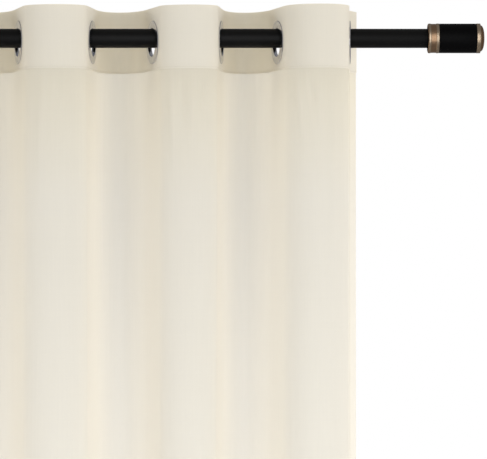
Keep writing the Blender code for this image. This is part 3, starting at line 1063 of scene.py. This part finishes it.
def seam_along(height, offset):
    """Points and facings of a level seam on the room side (offset above 0) or behind."""
    line = plan(drift(height))
    out = room_side(line)
    under_heading = height < HEADING_BOTTOM
    bumps = relief(ACROSS, np.full_like(ACROSS, height)) if under_heading else np.zeros_like(ACROSS)
    run = line + out * (bumps + offset)[:, None]
    sign = 1 if offset > 0 else -1
    return [(x, y, height) for x, y in run], [(sign * x, sign * y, 0.0) for x, y in out]


def seam_down(right, offset):
    """Points and facings of the seam down one side hem."""
    places, facings = [], []
    sign = 1 if offset > 0 else -1
    for number in range(int((HEADING_BOTTOM - SEAM_START - HEM_BOTTOM) / SEAM_STEP)):
        height = HEADING_BOTTOM - SEAM_START - number * SEAM_STEP
        line = plan(drift(height))
        out = room_side(line)
        tip, before, side = (line[-1], line[-2], out[-1]) if right else (line[0], line[1], out[0])
        inward = (before - tip) / np.linalg.norm(before - tip)
        x, y = tip + inward * SIDE_SEAM + side * offset
        places.append((x, y, height))
        facings.append((sign * side[0], sign * side[1], 0.0))
    return places, facings


seam_height = HEADING_BOTTOM + SEAM_ABOVE_EDGE
seam_out = PINCH + (HALF_THICK - PINCH) * math.sin(SEAM_ABOVE_EDGE / PINCH_HEIGHT * math.pi / 2)
foot_height = HEM_BOTTOM + FOOT_SEAM
hem_back = -2 * LAYER - PROUD  # just behind the hem's last layer
heading_seams = [seam_along(seam_height, seam_out + PROUD), seam_along(seam_height, -seam_out - PROUD)]
hem_seams = [seam_along(foot_height, PROUD), seam_along(foot_height, hem_back)]
hem_seams += [seam_down(right, offset) for right in (False, True) for offset in (PROUD, hem_back)]
print("seams:", len(heading_seams), "on the heading,", len(hem_seams), "on the hems")

# %% Sew
def sew(name, seams):
    """All the stitches of several seams as one plain mesh."""
    points, vectors, edges = [], [], []
    for places, facings in seams:
        first = len(points)
        points += places
        vectors += facings
        edges += [(first + k, first + k + 1) for k in range(len(places) - 1)]
    pattern = put("stitch_pattern", stitch_mesh())
    carrier = carrier_of(name, points, vectors, edges)
    sizes = {"Pitch": STITCH_PITCH, "Shortest": SHORTEST, "Longest": LONGEST}
    made = run_tree(carrier, seam_tree, {"Stitch": pattern, "Finish": thread, **sizes})
    bpy.data.objects.remove(pattern)
    print(name, len(made.data.polygons), "faces")
    return made


heading_stitches = sew("heading_stitches", heading_seams)
hem_stitches = sew("hem_stitches", hem_seams)

# %% [markdown]
# ## The rod and its end caps
# The rod is a plain steel tube whose coat stops inside the caps. Each end cap is four pieces: a copper
# collar that slips over the tube, a black body plugged into its bore, a copper band at the far end and a
# small domed copper tip. A Bevel modifier could round their edges. Short arcs in the outlines do it here,
# each with its own radius, because a dead sharp edge catches no light and looks drawn.

# %% Turn the rod
CAP_FACE = measured("cap_collar_right", 0, 0)
COLLAR_LENGTH = 0.0147
MOUTH_RADIUS = 0.0170  # the collar is wider than the rod where the rod goes in
MOUTH_DEPTH = 0.0030
ROD_BORE = 0.0115
COAT = 0.0001  # thickness of the rod's coat
HARD_SIDES = 96

half_rod = [
    (CAP_FACE + MOUTH_DEPTH - GAP, ROD_RADIUS),
    (CAP_FACE + MOUTH_DEPTH, ROD_RADIUS - COAT),
    (CAP_FACE + COLLAR_LENGTH, ROD_RADIUS - COAT),
    (CAP_FACE + COLLAR_LENGTH, ROD_BORE),
]
rod_outline = [(-along, radius) for along, radius in reversed(half_rod)] + half_rod
rod = put("rod_tube", turned_mesh("rod_tube", rod_outline, HARD_SIDES, black))
print("rod:", len(rod.data.polygons), "faces")

# %% Outlines of an end cap
CAP_RADIUS = 0.01965
LIP_ROUNDING = 0.0018  # of the collar's edge on the rod's side
BEAD_ROUNDING = 0.0006  # and of its edge on the body's side
BEAD_EDGE = 0.0034  # from either end of the collar, where its lip and its bead turn down
BEAD_FALL = 0.00005  # how far they have fallen there
COVE_START = 0.0040  # from either end of the collar
COVE_DEPTH = 0.0005
BODY_RADIUS = 0.01945
BODY_LENGTH = 0.0489
BODY_ROUNDING = 0.0005
SPIGOT_REACH = 0.0180
SPIGOT_ROUNDING = 0.0010
NECK_RADIUS = 0.0165
BAND_LENGTH = 0.0051
BAND_ROUNDING = (0.0004, 0.0003)  # of its edge at the body and of its edge at the tip
TIP_RADIUS = 0.0174
TIP_LENGTH = 0.0051
TIP_FULLNESS = 0.7  # 1 is a plain half ellipse, and less is fuller
TIP_STEP = 9  # degrees


def near_edge(along, radius, rounding, steps):
    """The rounded corner where an outline starts its outer face."""
    return arc((along + rounding, radius - rounding), rounding, 180, 90, steps)


def far_edge(along, radius, rounding, steps):
    """The rounded corner where an outline ends its outer face."""
    return arc((along - rounding, radius - rounding), rounding, 90, 0, steps)


def collar_outline():
    """The collar: a rounded lip at the rod's side, a shallow cove and a bead at the body's side."""
    cove = CAP_RADIUS - COVE_DEPTH
    fallen = CAP_RADIUS - BEAD_FALL
    outline = [(0.0, MOUTH_RADIUS), *near_edge(0.0, CAP_RADIUS, LIP_ROUNDING, 7)]
    outline += [(BEAD_EDGE, fallen), (COVE_START, cove)]
    outline += [(COLLAR_LENGTH - COVE_START, cove), (COLLAR_LENGTH - BEAD_EDGE, fallen)]
    outline += far_edge(COLLAR_LENGTH, CAP_RADIUS, BEAD_ROUNDING, 4)
    outline += [(COLLAR_LENGTH, ROD_RADIUS + GAP), (MOUTH_DEPTH, ROD_RADIUS + GAP)]
    return outline + [(MOUTH_DEPTH, MOUTH_RADIUS)]


def cap_outlines():
    """The outlines of a cap's four pieces, measured outwards from its face."""
    spigot = ROD_BORE - GAP
    shoulder = COLLAR_LENGTH + GAP
    spigot_end = shoulder - SPIGOT_REACH
    body_end = shoulder + BODY_LENGTH
    neck_end = body_end + BAND_LENGTH
    body = [(spigot_end, 0.0), *near_edge(spigot_end, spigot, SPIGOT_ROUNDING, 3), (shoulder, spigot)]
    body += near_edge(shoulder, BODY_RADIUS, BODY_ROUNDING, 3)
    body += far_edge(body_end, BODY_RADIUS, BODY_ROUNDING, 3)
    body += [(body_end, NECK_RADIUS), (neck_end, NECK_RADIUS), (neck_end, 0.0)]
    start = body_end + GAP
    end = start + BAND_LENGTH
    band = [(start, NECK_RADIUS + GAP), *near_edge(start, CAP_RADIUS, BAND_ROUNDING[0], 3)]
    band += [*far_edge(end, CAP_RADIUS, BAND_ROUNDING[1], 3), (end, NECK_RADIUS + GAP)]
    foot = neck_end + 2 * GAP
    dome = [math.radians(angle) for angle in range(0, 90, TIP_STEP)]
    tip = [(foot + TIP_LENGTH * math.sin(a), TIP_RADIUS * math.cos(a) ** TIP_FULLNESS) for a in dome]
    tip = [(foot, 0.0), *tip, (foot + TIP_LENGTH, 0.0)]
    return {"collar": collar_outline(), "body": body, "band": band, "tip": tip}


print("points in the cap's outlines:", {piece: len(points) for piece, points in cap_outlines().items()})

# %% Turn the end caps
caps = {}
for side, sign in (("left", -1), ("right", 1)):
    for piece, outline in cap_outlines().items():
        placed = [(sign * (CAP_FACE + along), radius) for along, radius in outline]
        finish = deep_black if piece == "body" else copper
        name = f"{piece}_{side}"
        caps[name] = put(name, turned_mesh(name, placed, HARD_SIDES, finish))
print("cap pieces:", sorted(caps))

# %% [markdown]
# ## The floor and the ground
# The photograph is a bright studio picture on a clean white ground. The floor is plain and pale, lies just
# under the hem and fades into that ground, because a floor that ran on would meet it in a grey line. The
# ground is plain light as well, but it isn't as bright for the cloth, for metal and for paint as it is for
# the camera: in a real studio the white paper is lit by lamps of its own.

# %% Floor
FLOOR_UNDER_HEM = 0.020
FLOOR_SIZE = 6.0
FLOOR_COLOUR = (0.82, 0.815, 0.80, 1)
FLOOR_FADE = (0.9, 2.1)  # from the middle: where the floor starts to fade and where it has gone

bpy.ops.mesh.primitive_plane_add(size=FLOOR_SIZE, location=(0, 0, HEM_BOTTOM - FLOOR_UNDER_HEM))
floor = bpy.context.object
floor.name = "floor"
pale, tree, output = new_material("pale_floor")
matt = add(tree, "ShaderNodeBsdfPrincipled", {"Base Color": FLOOR_COLOUR, "Roughness": 0.8}).outputs[0]
place = add(tree, "ShaderNodeTexCoord").outputs["Object"]
from_middle = add(tree, "ShaderNodeVectorMath", {0: place}, operation="LENGTH").outputs["Value"]
fade = add(
    tree,
    "ShaderNodeMapRange",
    {"Value": from_middle, "From Min": FLOOR_FADE[0], "From Max": FLOOR_FADE[1]},
    interpolation_type="SMOOTHSTEP",
)
faded = join(tree, fade.outputs["Result"], matt, add(tree, "ShaderNodeBsdfTransparent").outputs[0])
tree.links.new(faded, output.inputs["Surface"])
floor.data.materials.append(pale)
floor.visible_glossy = False
print("floor under the hem by", FLOOR_UNDER_HEM, "m")

# %% Ground
GROUND = 1.0  # what the camera sees behind the curtain
AMBIENT = 0.48  # what lights the cloth from all around
MIRRORED_GROUND = 0.28  # what metal and paint mirror where no lamp is

world = bpy.data.worlds.new("studio")
scene.world = world
world.use_nodes = True
tree = world.node_tree
tree.nodes.clear()
path = add(tree, "ShaderNodeLightPath").outputs
around = ramp(tree, path["Is Glossy Ray"], AMBIENT, MIRRORED_GROUND)
strength = ramp(tree, path["Is Camera Ray"], around, GROUND)
sky = add(tree, "ShaderNodeBackground", {"Color": (1, 1, 1, 1), "Strength": strength})
tree.links.new(sky.outputs[0], add(tree, "ShaderNodeOutputWorld").inputs["Surface"])
print("ground", GROUND, "around", AMBIENT)

# %% [markdown]
# ## The lamps
# The light comes from all around, more of it from the right. So wide soft lamps stand to the left and to
# the right, and two more stand behind the curtain and shine through it, which keeps the hollows between the
# folds light. A small lamp far to the right touches the side edge. Downwards the cloth grows lighter and a
# little cooler: a low cool lamp in front does that, with a panel close behind that starts below the
# heading. A warm lamp above lights the heading.
#
# The same lamps could light cloth and metal alike, but wide ones would show as white bars on bent metal.
# So they light cloth and paint alone, and metal and paint mirror one separate lamp in front. The two lamps
# that stand close to the floor leave it out, because they would draw their own edge on it.

# %% Lamps
WHITE = (1.0, 1.0, 1.0)
WARM = (1.0, 0.955, 0.82)
COOL = (0.80, 0.91, 1.0)

Lamp = namedtuple("Lamp", "name bearing away height aim wide tall watts colour", defaults=(WHITE,))
SOFT_LAMPS = (
    Lamp("left", bearing=-60, away=3.0, height=-0.8, aim=-0.8, wide=1.5, tall=2.5, watts=25),
    Lamp("right", bearing=50, away=3.0, height=-0.8, aim=-0.8, wide=1.5, tall=2.5, watts=44),
    Lamp("edge", bearing=97, away=2.0, height=-0.8, aim=-0.8, wide=0.5, tall=2.5, watts=2),
    Lamp("low", bearing=0, away=1.6, height=-1.7, aim=-0.7, wide=2.4, tall=0.8, watts=15, colour=COOL),
    Lamp("far_left", bearing=-120, away=2.5, height=-0.8, aim=-0.8, wide=1.5, tall=2.5, watts=29),
    Lamp("far_right", bearing=120, away=2.5, height=-0.8, aim=-0.8, wide=1.5, tall=2.5, watts=20),
    Lamp("above", bearing=0, away=0.3, height=2.5, aim=0.0, wide=2.5, tall=1.5, watts=44, colour=WARM),
    Lamp("panel", bearing=180, away=0.3, height=-1.15, aim=-1.15, wide=1.3, tall=1.6, watts=2.3),
)
GLINT = Lamp("glint", bearing=5, away=3.0, height=0.0, aim=0.0, wide=1.6, tall=3.0, watts=45)
NEAR_FLOOR = ("low", "panel")


def soft_light(lamp, on_cloth):
    """A rectangular lamp that faces the curtain's middle line and isn't seen itself.

    It lights cloth and paint alike, or else it is only mirrored by what shines."""
    light = bpy.data.lights.new(lamp.name, "AREA")
    light.shape = "RECTANGLE"
    light.size = lamp.wide
    light.size_y = lamp.tall
    light.energy = lamp.watts
    light.color = lamp.colour
    turn = math.radians(lamp.bearing)
    place = Vector((lamp.away * math.sin(turn), -lamp.away * math.cos(turn), lamp.height))
    made = put(lamp.name, light)
    made.location = place
    made.rotation_euler = (Vector((0, 0, lamp.aim)) - place).to_track_quat("-Z", "Y").to_euler()
    made.visible_camera = False
    made.visible_diffuse = on_cloth
    made.visible_glossy = not on_cloth
    return made


spared = bpy.data.collections.new("spared_floor")
spared.objects.link(floor)
spared.collection_objects[0].light_linking.link_state = "EXCLUDE"
for lamp in SOFT_LAMPS:
    made = soft_light(lamp, on_cloth=True)
    if lamp.name in NEAR_FLOOR:
        made.light_linking.receiver_collection = spared
soft_light(GLINT, on_cloth=False)
print("soft lamps:", [lamp.name for lamp in SOFT_LAMPS])

# %% [markdown]
# ## Each piece in place of its measured solids
# Each finished piece rides on the curtain's one body, and the measured solids that it stands for are
# hidden. A short helper does this for every piece in the same way.

def stands_for(piece, slot, *names):
    """The piece rides on the curtain's one body and replaces measured solids. The slot is not used."""
    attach(piece, "root")
    if names:
        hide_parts(*names)


ring_numbers = range(1, len(CROSSINGS) + 1)
stands_for(panel, "voile", "voile_panel")
stands_for(heading, "heading", "heading")
stands_for(rings["ring_fronts"], "nickel", *[f"grommet_front_{n}" for n in ring_numbers])
stands_for(rings["ring_backs"], "nickel", *[f"grommet_back_{n}" for n in ring_numbers])
stands_for(heading_stitches, "heading")
stands_for(hem_stitches, "voile")
stands_for(rod, "black", "rod")
for name, piece in caps.items():
    part, side = name.split("_")
    stands_for(piece, "black" if part == "body" else "copper", f"cap_{part}_{side}")
